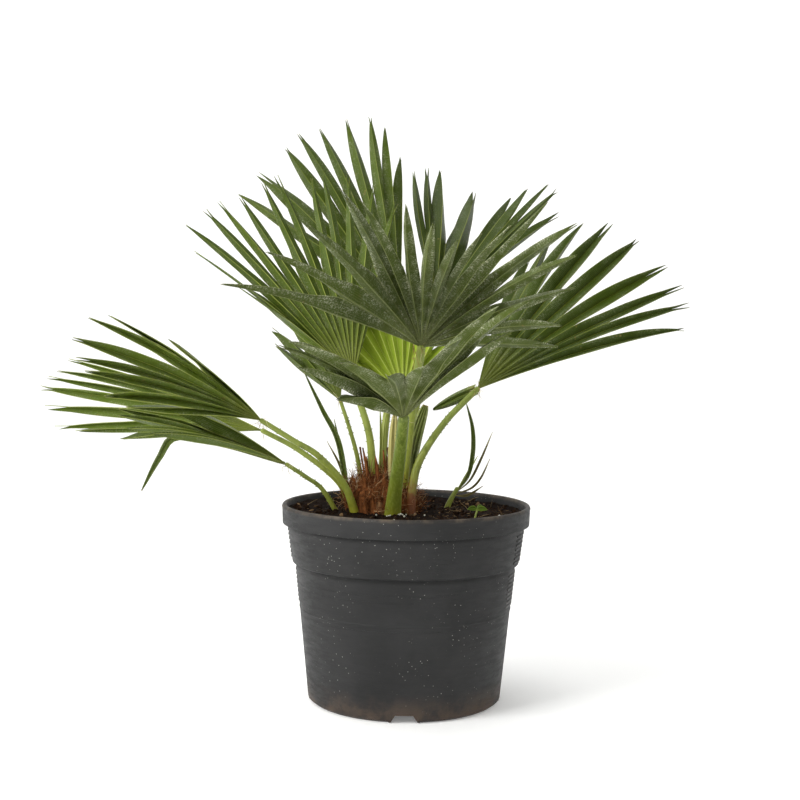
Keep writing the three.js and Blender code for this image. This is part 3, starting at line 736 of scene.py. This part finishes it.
# %% Leaf list
USUAL = dict(split=0.5, arch=0.03, swell=0.5, most=9)
LEAVES = {
    "front_arch": dict(most=5.6, hub=(13, -45, 179), split=0.45, wide=4.4, foot=4.4,
        stalk=[(-4, 4, 22), (2, -8, 82), (8, -33, 138)],
        tips=[(-170, -180, 240), (-130, -210, 265), (-90, -230, 285), (-60, -230, 315), (-40, -240, 310),
              (-10, -250, 300), (15, -260, 285), (40, -255, 275), (60, -255, 275), (85, -245, 285),
              (125, -215, 305), (150, -195, 295), (145, -200, 265), (150, -185, 235), (140, -185, 205),
              (135, -165, 180)]),
    "right_spread": dict(hub=(73, 5, 135), split=0.47, wide=3, foot=5.6,
        stalk=[(4, -16, -5), (6, -14, 30), (14, -10, 62), (40, 0, 101)],
        tips=[(290, 5, 205), (295, 15, 230), (290, 25, 245), (275, 40, 270), (250, 50, 295), (220, 70, 315),
              (190, 90, 320), (165, 120, 300), (140, 140, 285)]),
    "left_upright": dict(most=4.4, hub=(-57, 0, 145), wide=3.3, foot=5,
        stalk=[(-34, 8, 26), (-38, 6, 75), (-43, 4, 99), (-52, 2, 126)],
        tips=[(-180, 10, 240), (-225, 15, 275), (-235, 20, 305), (-220, 25, 320), (-205, 35, 330),
              (-185, 40, 335), (-160, 50, 350), (-140, 50, 360), (-110, 55, 360), (-90, 55, 365),
              (-65, 55, 360), (-40, 60, 355), (-15, 60, 335)]),
    "front_low": dict(swell=0.35, hub=(-4, -90, 109), arch=0.05, wide=5.6, foot=9.2,
        stalk=[(-15, -22, -5), (-12, -38, 30), (-7, -66, 75)],
        tips=[(-65, -200, 135), (-95, -225, 160), (-115, -230, 180), (-100, -240, 185), (-55, -260, 165),
              (-15, -270, 160), (10, -270, 160), (45, -255, 190), (80, -230, 220), (105, -210, 225),
              (95, -200, 195)]),
    "back_left": dict(hub=(-9, 85, 210), wide=3.4, foot=5,
        stalk=[(-26, 34, 20), (-24, 48, 85), (-14, 72, 165)],
        tips=[(-165, 120, 325), (-195, 140, 350), (-170, 145, 375), (-145, 140, 400), (-125, 140, 420),
              (-100, 140, 425), (-75, 140, 435), (-50, 145, 440), (-30, 155, 430), (-15, 170, 400)]),
    "back_right": dict(hub=(30, 80, 215), split=0.48, wide=3, foot=4.5,
        stalk=[(-8, 34, 20), (4, 45, 85), (22, 66, 165)],
        tips=[(0, 215, 385), (18, 215, 392), (40, 225, 385), (85, 235, 365), (120, 225, 355),
              (145, 205, 365), (165, 185, 370), (175, 175, 360), (175, 170, 335)]),
    "left_low_near": dict(swell=0.7, hub=(-147, -50, 103), wide=2.6, foot=5,
        stalk=[(-50, -14, -4), (-64, -22, 35), (-91, -35, 67), (-114, -44, 82)],
        tips=[(-225, -150, 185), (-270, -195, 205), (-280, -210, 205), (-295, -220, 185), (-295, -220, 170),
              (-285, -215, 155), (-275, -200, 135), (-255, -170, 120)]),
    "left_low_far": dict(swell=0.7, hub=(-151, 0, 89), wide=2.6, foot=4,
        stalk=[(-58, 14, 4), (-72, 13, 35), (-113, 8, 68)],
        tips=[(-360, 20, 160), (-370, 25, 150), (-385, 30, 140), (-395, 35, 125), (-385, 40, 105),
              (-375, 50, 85), (-360, 55, 80), (-315, 60, 75)]),
    "left_drooping": dict(swell=0.8, hub=(-124, -20, 56), arch=0.04, wide=2.2, foot=3,
        stalk=[(-68, 2, -5), (-87, -6, 28), (-104, -12, 42)],
        tips=[(-240, -110, 125), (-280, -110, 115), (-275, -130, 107), (-262, -148, 102), (-238, -145, 94)]),
    "young_centre": dict(hub=(-4, 20, 125), split=0.6, arch=0.02, wide=2.6, foot=4,
        stalk=[(-16, 18, 26), (-13, 19, 60), (-7, 20, 100)],
        tips=[(-60, 20, 150), (-75, 30, 170), (-80, 35, 195), (-70, 45, 225), (-55, 50, 250), (-35, 55, 265),
              (-10, 58, 265), (10, 60, 260), (30, 58, 245), (45, 54, 220), (45, 48, 185)]),
    "small_left": dict(hub=(-72, 45, 119), arch=0.02, wide=2, foot=3,
        stalk=[(-46, 32, 22), (-53, 38, 59), (-62, 42, 90)],
        tips=[(-145, 80, 175), (-150, 90, 200), (-135, 110, 220), (-115, 115, 235), (-95, 115, 240),
              (-75, 120, 230)]),
}
LEAVES = {name: {**USUAL, **leaf} for name, leaf in LEAVES.items()}
STEMS = {
    "shoot_right_stem": dict(hub=(55, 45, 25), wide=2.4, foot=4, stalk=[(42, 46, -4), (47, 46, 10)]),
    "seedling_stem": dict(hub=(73, -28, 12), wide=1, foot=1.2, stalk=[(70, -32, -4), (71, -30, 5)]),
}
print(len(LEAVES), "leaves with", sum(len(leaf["tips"]) for leaf in LEAVES.values()), "segments")

# %% Lines through listed points
def at_soil(point):
    x, y, up = point
    return Vector((x * MM, y * MM, SOIL_Z + up * MM))


def through(values, v):
    """The value at share v of a smooth row of values, carried straight on past either end."""
    last = len(values) - 1
    k = min(last - 1, max(0, math.floor(v * last)))
    f = v * last - k
    b, d = values[k], values[k + 1]
    a = values[k - 1] if k > 0 else 2 * b - d
    e = values[k + 2] if k + 2 <= last else 2 * d - b
    if f < 0:
        return b + (d - a) / 2 * f
    if f > 1:
        return d + (e - b) / 2 * (f - 1)
    return 0.5 * (2 * b + (d - a) * f + (2 * a - 5 * b + 4 * d - e) * f * f
                  + (3 * b - a - 3 * d + e) * f ** 3)


FINE_STEPS = 160


def smooth_line(points, count):
    """Evenly spaced points on a smooth line through the given ones."""
    fine = [through(points, i / FINE_STEPS) for i in range(FINE_STEPS + 1)]
    walked = [0.0]
    for a, b in zip(fine, fine[1:]):
        walked.append(walked[-1] + (b - a).length)
    line, k = [], 0
    for i in range(count + 1):
        want = walked[-1] * i / count
        while k < FINE_STEPS - 1 and walked[k + 1] < want:
            k += 1
        share = (want - walked[k]) / max(1e-9, walked[k + 1] - walked[k])
        line.append(fine[k].lerp(fine[k + 1], min(1.0, share)))
    return line


def chance(seed, i):
    """A fixed number from -1 to 1 for a leaf and one of its segments, from the usual sine hash."""
    x = math.sin(seed * 78.233 + i * 12.9898) * 43758.5453
    return 2 * (x - math.floor(x)) - 1


# %% [markdown]
# ## Stalks
# A fan palm's leaf stalk is long, a little flattened, wider at its foot and armed with small forward
# teeth on both margins. A ring is swept along the stalk's line, and each tooth is a small leaning cone.
# The end at the hub is rounded, and the blade starts inside it.

# %% One stalk
STALK_SIDES, STALK_STEPS, STALK_FLAT = 16, 30, 0.86
FOOT_FLARE = 0.14
ROUND_END = (25, 50, 72)  # degrees round the end at the hub


def stalk_mesh(bm, leaf):
    points = [at_soil(p) for p in leaf["stalk"]] + [at_soil(leaf["hub"])]
    steps = STALK_STEPS
    line = smooth_line(points, steps)
    foot, end = leaf["foot"] * MM, leaf["wide"] * MM
    radii = [foot + (end - foot) * math.sqrt(i / steps) for i in range(steps + 1)]
    radii = [r * (1 + FOOT_FLARE * (1 - i / steps) ** 4) for i, r in enumerate(radii)]
    ahead = (line[-1] - line[-2]).normalized()
    for turn in ROUND_END:
        a = math.radians(turn)
        line.append(line[steps] + ahead * end * math.sin(a))
        radii.append(end * math.cos(a))
    shares = [min(1.0, i / steps) for i in range(len(line))]
    sweep(bm, line, radii, STALK_SIDES, STALK_FLAT, shares)
    return line[:steps + 1], radii[:steps + 1]


# %% Teeth on its margins
TOOTH_CHANCE, TOOTH_LEAN = 0.42, math.radians(62)
BARE_FOOT, BARE_END = 8, 4  # steps of the stalk without teeth


def add_teeth(bm, line, radii, rng):
    along = bm.verts.layers.float["along"]
    frames = turned_frames(line)
    for i in range(BARE_FOOT, len(line) - BARE_END):
        for side in (-1, 1):
            if rng.random() < TOOTH_CHANCE:
                long = rng.uniform(1.3, 2.6) * MM
                margin = Matrix.Translation((side * radii[i] * 0.86, 0, 0))
                lean = Matrix.Rotation(side * TOOTH_LEAN, 4, "Y")
                place = frames[i] @ margin @ lean @ Matrix.Translation((0, 0, long / 2))
                made = bmesh.ops.create_cone(bm, cap_ends=True, segments=6, radius1=0.75 * MM,
                                             radius2=0.08 * MM, depth=long, matrix=place)["verts"]
                for v in made:
                    v[along] = 0.5


# %% All the stalks
def add_stalks():
    looks = {"front_low": stalk_green, "right_spread": stalk_brown}
    for seed, (name, leaf) in enumerate({**LEAVES, **STEMS}.items()):
        bm = bmesh.new()
        line, radii = stalk_mesh(bm, leaf)
        if name in LEAVES:
            add_teeth(bm, line, radii, random.Random(100 + seed))
        bmesh.ops.recalc_face_normals(bm, faces=bm.faces)
        node = f"stalk_{name}" if name in LEAVES else name
        hang(bm, f"{name}_petiole", [looks.get(name, stalk_pale)], node)


add_stalks()

# %% [markdown]
# ## Blades
# A blade is a fan of folded segments, joined near the hub and free beyond `split`. Each half of a segment
# is a grid: its columns run from the midrib to the margin, its rows from the hub to the tip. The grid
# is bent onto the fan, and neighbours are welded where their edges meet. The two halves part again near
# the tip, which gives the small forked ends of this palm. Solidify then gives the sheet its thickness.

# %% The smooth surface of a fan
class Fan:
    """`w` counts segments across the fan, so 0.5 is the midrib of the first, and `t` runs from hub to tip."""

    def __init__(self, leaf):
        self.hub, self.arch, self.count = at_soil(leaf["hub"]), leaf["arch"], len(leaf["tips"])
        arms = [at_soil(tip) - self.hub for tip in leaf["tips"]]
        self.lengths = [arm.length for arm in arms]
        self.aims = [arm.normalized() for arm in arms]

    def length(self, w):
        return through(self.lengths, (w - 0.5) / (self.count - 1))

    def at(self, w, t):
        aim, long = through(self.aims, (w - 0.5) / (self.count - 1)).normalized(), self.length(w)
        return self.hub + aim * long * t + UP * (self.arch * long * 4 * t * (1 - t))

    def across(self, w, t):
        return (self.at(w + 0.05, t) - self.at(w - 0.05, t)).normalized()

    def facing(self, w, t):
        return (self.at(w, t + 0.02) - self.at(w, t - 0.02)).cross(self.across(w, t)).normalized()

    def half_width(self, w, t):
        return (self.at(w + 0.5, t) - self.at(w - 0.5, t)).length / 2


# %% Rows and columns of one segment
JOINED_ROWS, FREE_ROWS, COLUMNS = 9, 17, 3
ROWS = JOINED_ROWS + FREE_ROWS
FOLD, ROUNDING = 0.5, 0.07  # depth of a pleat and the roundness of its halves, in half widths


def lift_at(k):
    """How high a point stands off the fan, from the midrib at k = 0 to the margins at -1 and 1."""
    return (2 * abs(k) - 1) * FOLD + ROUNDING * math.sin(math.pi * abs(k))


def joined_point(fan, leaf, i, k, share):
    """A point of segment i between the hub and the split, where neighbours share their margins."""
    edge = i + 0.5 + k / 2
    start = 0.45 * leaf["wide"] * MM / fan.length(edge)
    t = start + (leaf["split"] - start) * share
    return fan.at(edge, t) + fan.facing(edge, t) * lift_at(k) * fan.half_width(edge, t)


# %% The free end of a segment
TAPER, CROWDING = 2.2, 1.25  # how late a segment narrows, and how close its rows stand at the tip
SETTLED = 0.35  # share of the free length over which it leaves the fan's own width
SWAY, TWIST = 5.5, 0.5  # how far its tip strays, in millimetres and in radians


def free_point(fan, leaf, seed, i, k, row, fork_from, gap):
    """A point of segment i beyond the split. The two halves part by `gap` beyond `fork_from`."""
    w, split = i + 0.5, leaf["split"]
    share = 1 - (1 - (row - JOINED_ROWS) / FREE_ROWS) ** CROWDING
    t = split + (1 - split) * share
    wide = fan.half_width(w, split)
    blend = min(1.0, share / SETTLED)
    blend = blend * blend * (3 - 2 * blend)
    half = wide + (min(wide, leaf["most"] * MM) - wide) * blend
    half *= (1 + leaf["swell"] * share) * (1 - share ** TAPER)
    side, face = fan.across(w, split), fan.facing(w, min(t, 0.98))
    sway = share * share * SWAY * MM
    middle = fan.at(w, t) + side * chance(seed, i) * sway + face * chance(seed + 40, i) * sway
    ahead = fan.at(w, t) - fan.at(w, t - 0.02)
    twist = Matrix.Rotation(chance(seed + 60, i) * TWIST * share, 3, ahead)
    spread = twist @ (side * half * k + face * lift_at(k) * half)
    opening = joined_point(fan, leaf, i, k, 1.0) - fan.at(w, split)
    point = middle + opening * (half / wide) * (1 - blend) + spread * blend
    if share > fork_from:
        point += side * (1 if k > 0 else -1) * gap * (share - fork_from) / (1 - fork_from)
    return point


# %% One blade
def blade_mesh(bm, leaf, seed, fork):
    """`fork` scales the gap between the two halves of each tip."""
    fan = Fan(leaf)
    uv, tone = bm.loops.layers.uv.new("blade"), bm.faces.layers.float.new("tone")
    for i in range(fan.count):
        fork_from = 0.78 + 0.18 * abs(chance(seed + 7, i))
        gap = fork * (0.4 + 2.0 * abs(chance(seed + 9, i))) * MM
        for half in (-1, 1):
            grid = bmesh.ops.create_grid(bm, x_segments=COLUMNS, y_segments=ROWS, size=0.5)["verts"]
            for face in {f for v in grid for f in v.link_faces}:
                face[tone] = 0.5 + 0.5 * chance(seed + 3, i)
                for loop in face.loops:
                    row = (loop.vert.co.y + 0.5) * ROWS
                    free = max(0.0, row - JOINED_ROWS) / FREE_ROWS
                    long = leaf["split"] * min(1.0, row / JOINED_ROWS) + (1 - leaf["split"]) * free
                    loop[uv].uv = ((loop.vert.co.x + half / 2 + 1) / 2, long)
            for v in grid:
                k, row = v.co.x + half / 2, round((v.co.y + 0.5) * ROWS)
                if abs(k) < 1e-6:
                    k += half * 1e-9  # tells the two halves of the midrib apart
                if row <= JOINED_ROWS:
                    v.co = joined_point(fan, leaf, i, k, row / JOINED_ROWS)
                else:
                    v.co = free_point(fan, leaf, seed, i, k, row, fork_from, gap)
    bmesh.ops.remove_doubles(bm, verts=bm.verts, dist=WELD)


def thicken(piece, thickness):
    modifier = piece.modifiers.new("thickness", "SOLIDIFY")
    modifier.thickness, modifier.offset = thickness, 0


# %% All the blades
# The three low left leaves take the lighter leaf finish, which is painted light.
BLADE_LOOKS = {
    "front_arch": (leaf_dusty, "dusty_leaf", 0.5), "front_low": (leaf_dusty, "dusty_leaf", 0.6),
    "young_centre": (leaf_young, "young_leaf", 0.3), "left_upright": (leaf_ribbed, "leaf", 1.0),
    "left_low_near": (leaf_painted_lit, "leaf", 1.2), "left_low_far": (leaf_painted_lit, "leaf", 1.2),
    "left_drooping": (leaf_painted_lit, "leaf", 1.2), "back_right": (leaf_deep, "leaf", 1.2),
    "right_spread": (leaf_deep, "leaf", 1.2)}


def add_blades():
    for seed, (name, leaf) in enumerate(LEAVES.items(), 1):
        finish, slot, fork = BLADE_LOOKS.get(name, (leaf_green, "leaf", 1.2))
        bm = bmesh.new()
        blade_mesh(bm, leaf, seed, fork)
        piece = hang(bm, f"{name}_blade", [finish], f"fan_{name}", BLADE_CREASE)
        thicken(piece, 0.6 * MM)


add_blades()

# %% [markdown]
# ## Narrow blades
# The folded new leaf, its papery sheath, the sucker leaves and the small shoots are single narrow blades.
# Each is a grid bent along a smooth line, folded along its middle and pointed at its tip. The new leaf is
# still shut, so it has four pleats pressed together. A kind lists a blade's finish, a material slot, its
# number of pleats and its fullness, and the blade takes all but the slot: the lower the fullness, the less
# its sides are curved.

# %% Kinds and list of narrow blades
KINDS = {
    "spear": (leaf_spear, "spear", 4, 0.35), "pale": (leaf_pale, "pale_sheath", 2, 0.4),
    "wide": (leaf_green, "leaf", 2, 0.6), "leaf": (leaf_green, "leaf", 1, 0.75),
    "stalk": (leaf_stalk, "stalk", 1, 1.0), "dry": (leaf_dry, "dry_leaf", 1, 1.0),
    "sprout": (leaf_sprout, "leaf", 1, 1.0)}
STRAPS = [
    ("spear_leaf", [(0, 10, 38), (8, 2, 81), (19, -2, 118)], 15, "spear"),
    ("pale_sheath", [(-14, 2, 38), (-14, 0, 80), (-13, -4, 108)], 11, "pale"),
    ("thin_stalk_a", [(-27, 18, 38), (-27, 22, 75), (-29, 24, 113)], 4, "stalk"),
    ("thin_stalk_b", [(-24, 10, 38), (-24, 11, 78), (-22, 8, 111)], 4, "stalk"),
    ("bent_segment", [(-126, -20, 57), (-185, -28, 77), (-236, -28, 84), (-254, -29, 62), (-272, -30, 28)],
     9, "leaf"),
    ("basal_segment", [(72, 6, 135), (50, 24, 123.5), (28, 42, 111)], 12, "wide"),
    ("sucker_left_blade", [(-61, 20, 8), (-72, 22, 74), (-90, 24, 110), (-110, 26, 150)], 6, "leaf"),
    ("sucker_left_tip_a", [(-61, 26, 8), (-69, 29, 60), (-78, 32, 100)], 3.2, "leaf"),
    ("sucker_left_tip_b", [(-60, 30, 8), (-70, 36, 46), (-86, 40, 76)], 3.2, "dry"),
    ("shoot_right_blade", [(55, 45, 23), (67, 46, 40), (72, 49, 66), (71, 50, 92), (64, 49, 118)],
     4.8, "leaf"),
    ("shoot_right_tip_a", [(55, 45, 22), (69, 43, 35), (80, 39, 58), (92, 36, 88)], 2.4, "dry"),
    ("shoot_right_tip_b", [(54, 44, 20), (70, 37, 27), (80, 32, 39), (89, 27, 60)], 2.2, "dry"),
    ("shoot_right_tip_c", [(52, 44, 18), (66, 32, 20), (82, 18, 32)], 2.4, "dry"),
    ("shoot_right_tip_d", [(54, 46, 21), (65, 56, 38), (78, 60, 60)], 2.4, "stalk"),
    ("seedling_leaf_a", [(73, -28, 12.5), (76, -23, 14.5), (80, -19, 14)], 5, "sprout"),
    ("seedling_leaf_b", [(73, -28, 12.5), (78, -31, 14), (83, -33, 13)], 5, "sprout"),
    ("seedling_leaf_c", [(73, -28, 12.5), (68, -29, 14), (63, -31, 13)], 5, "sprout"),
]

# %% One narrow blade
STRAP_ROWS = 26
TOWARDS_FRONT = Vector((0, -1, 0.2)).normalized()


def strap_mesh(bm, path, wide, folds, rooted, full):
    """A rooted blade starts nearly at its full width, and the others are narrow at the foot as well."""
    rows = STRAP_ROWS
    line = smooth_line([at_soil(p) for p in path], rows)
    uv, tone = bm.loops.layers.uv.new("blade"), bm.faces.layers.float.new("tone")
    grid = bmesh.ops.create_grid(bm, x_segments=4 * folds, y_segments=rows, size=0.5)["verts"]
    for face in bm.faces:
        face[tone] = 0.5
        for loop in face.loops:
            loop[uv].uv = (loop.vert.co.x + 0.5, loop.vert.co.y + 0.5)
    start, end = 0.28 if rooted else 0.07, 0.985  # part of a sine's half turn that gives the outline
    depth = 0.7 if folds == 1 else 0.55
    for v in grid:
        k, row = 2 * v.co.x, round((v.co.y + 0.5) * rows)
        ahead = (line[min(row + 1, rows)] - line[max(row - 1, 0)]).normalized()
        side = ahead.cross(TOWARDS_FRONT).normalized()
        face = side.cross(ahead).normalized()
        half = wide / 2 * MM * math.sin(math.pi * (start + (end - start) * row / rows)) ** full
        pleat = abs((k * folds) % 2 - 1) if folds > 1 else 1 - abs(k)
        v.co = line[row] + side * half * k + face * (0.5 - pleat) * half * depth
    bmesh.ops.remove_doubles(bm, verts=bm.verts, dist=WELD)


def add_straps():
    for name, path, wide, kind in STRAPS:
        finish, slot, folds, full = KINDS[kind]
        bm = bmesh.new()
        strap_mesh(bm, path, wide, folds, not name.startswith(("shoot", "seedling", "bent")), full)
        piece = hang(bm, f"{name}_strip", [finish], name, BLADE_CREASE)
        thicken(piece, 0.55 * MM)


add_straps()

# %% [markdown]
# ## The crown
# Above the roots the stem is a short stump, wrapped in the torn brown fibre of old leaf sheaths. The stump
# is a spun lump roughened with noise. Old leaf bases are pointed scales bent round it, taller ones stand
# among the stalks, and over a thousand curled strands give the matted look.

# %% Stump
CROWN = Vector((-24 * MM, 14 * MM, SOIL_Z))
CROWN_TALL, CROWN_LEAN = 44, 0.14  # in millimetres, and the share of its height by which it leans left
CROWN_RADII = [34, 37, 37.5, 37, 35, 30, 20, 6]


def crown_radius(up):
    """Radius of the stump at a height over the compost, both in metres."""
    return through(CROWN_RADII, min(1.0, max(0.0, up / (CROWN_TALL * MM)))) * MM


def add_stump():
    bm = bmesh.new()
    levels = [-3 + 1.6 * i for i in range(30)]
    spun(bm, [[0, -3], *([crown_radius(z * MM) / MM, z] for z in levels), [0, CROWN_TALL]], 90)
    for v in bm.verts:
        out = Vector((v.co.x, v.co.y, 0))
        ridge = noise.fractal(Vector((v.co.x, v.co.y, v.co.z * 0.35)) * 70, 0.7, 2.0, 5)
        v.co += out * 0.16 * ridge + UP * 2.2 * MM * noise.noise(v.co * 90)
        v.co += CROWN - Vector((CROWN_LEAN * v.co.z, 0, 0))
    bmesh.ops.recalc_face_normals(bm, faces=bm.faces)
    hang(bm, "crown_stump", [fibre], "crown")


add_stump()


# %% Old leaf bases
def bend_scale(bm, number, turn, tall, wide, lean, radius, shade, tone):
    """A pointed strip bent round the upright axis at `radius`, a function of the height in metres."""
    grid = bmesh.ops.create_grid(bm, x_segments=6, y_segments=14, size=0.5)["verts"]
    for v in grid:
        up, k = v.co.y + 0.5, 2 * v.co.x
        r = radius(up * tall) + lean * up - 1.5 * MM * k * k
        half = wide / 2 * (1 - up ** 1.6) * (1 + 0.3 * noise.noise(Vector((number * 9, up * 9, k))))
        a = turn + k * half / max(r, 0.012)
        leant = CROWN_LEAN * up * tall
        v.co = CROWN + Vector((r * math.cos(a) - leant, r * math.sin(a), up * tall - 2 * MM))
    for face in {face for v in grid for face in v.link_faces}:
        face[tone] = shade


def add_ring(bm, rng, layer, first, count, drift, tall, wide, lean, tone, radius):
    """A ring of scales. Pairs are the least and the most of a random size, in millimetres, or tone."""
    for i in range(count):
        turn, height = math.tau * i / count + rng.uniform(-drift, drift), rng.uniform(*tall) * MM
        bend_scale(bm, first + i, turn, height, rng.uniform(*wide) * MM, rng.uniform(*lean) * MM, radius,
                   rng.uniform(*tone), layer)


def add_scales(rng):
    bm = bmesh.new()
    layer = bm.faces.layers.float.new("tone")
    add_ring(bm, rng, layer, first=0, count=18, drift=0.15, tall=(28, 50), wide=(10, 20), lean=(0.5, 5),
             tone=(0.2, 0.8), radius=lambda z: crown_radius(min(z, 34 * MM)) + 1.2 * MM)
    add_ring(bm, rng, layer, first=30, count=8, drift=0.2, tall=(56, 78), wide=(9, 15), lean=(-2, 4),
             tone=(0.1, 0.7), radius=lambda z: 14 * MM)
    bmesh.ops.remove_doubles(bm, verts=bm.verts, dist=WELD)
    print("crown scales", len(bm.faces), "faces")
    thicken(hang(bm, "crown_scales", [fibre]), 0.8 * MM)


dice = random.Random(23)
add_scales(dice)

# %% Matted strands
STRANDS = 1300


def add_mat(rng):
    bm = bmesh.new()
    for _ in range(STRANDS):
        a, up = rng.uniform(0, math.tau), CROWN_TALL * MM * rng.random()
        r = crown_radius(up) + rng.uniform(0, 3.5) * MM
        point = CROWN + Vector((r * math.cos(a) - CROWN_LEAN * up, r * math.sin(a), up))
        heading = Matrix.Rotation(a + math.pi / 2 + rng.uniform(-0.4, 0.4), 4, "Z")
        dip = Matrix.Rotation(-rng.uniform(-0.3, 1.7), 4, "Y")
        swing = heading @ dip @ Matrix.Rotation(rng.uniform(0, math.tau), 4, "X")
        size = Matrix.Diagonal((rng.uniform(10, 26) * MM, 18 * MM, 18 * MM, 1))
        scatter(bm, rng.choice(curls), Matrix.Translation(point) @ swing @ size, rng.random() ** 1.5)
    print("crown strands", len(bm.faces), "faces")
    hang(bm, "crown_mat", [fibre])


add_mat(dice)

# %% [markdown]
# ## Threads at the hubs
# Where the blade meets the stalk the leaf is a little torn: a tuft of dry threads stands round each hub,
# and three longer strands hang beside the front leaf's.

# %% Hub threads
MANY_THREADS, FEW_THREADS = 30, 8


def add_hub_threads(rng):
    bm = bmesh.new()
    for name, leaf in LEAVES.items():
        hub = at_soil(leaf["hub"])
        for _ in range(MANY_THREADS if name in ("right_spread", "front_arch") else FEW_THREADS):
            point = hub + Vector([rng.uniform(-2.4, 2.4) * MM for _ in range(3)])
            size = Matrix.Scale(rng.uniform(6, 16) * MM, 4)
            strand = rng.choice(curls)
            place = Matrix.Translation(point) @ tumble(rng, 1.5) @ size
            scatter(bm, strand, place, rng.uniform(0.3, 1.0))
    arch, size = at_soil(LEAVES["front_arch"]["hub"]), Matrix.Diagonal((44 * MM, 16 * MM, 16 * MM, 1))
    for i in range(3):
        place = Matrix.Translation(arch + Vector((-8 * MM, -3 * MM, (6 - 2 * i) * MM)))
        down = Matrix.Rotation(math.radians(90), 4, "Y") @ Matrix.Rotation(2.0 * i, 4, "X")
        scatter(bm, curls[i], place @ down @ size, 0.1)
    print("hub threads", len(bm.faces), "faces")
    hang(bm, "hub_threads", [husk])


add_hub_threads(random.Random(31))

# %% [markdown]
# ## Check the size
# The CAD box and the finished box are kept side by side, and how far each corner differs is printed.
# Looks must not change the object's size, so the CAD box and the finished box are kept side by side.

# %% Compare the boxes
new_low, new_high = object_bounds()
for label, old, new in (("low", cad_low, new_low), ("high", cad_high, new_high)):
    print(label, "corner differs by", [round((n - o) / MM, 1) for n, o in zip(new, old)], "mm")
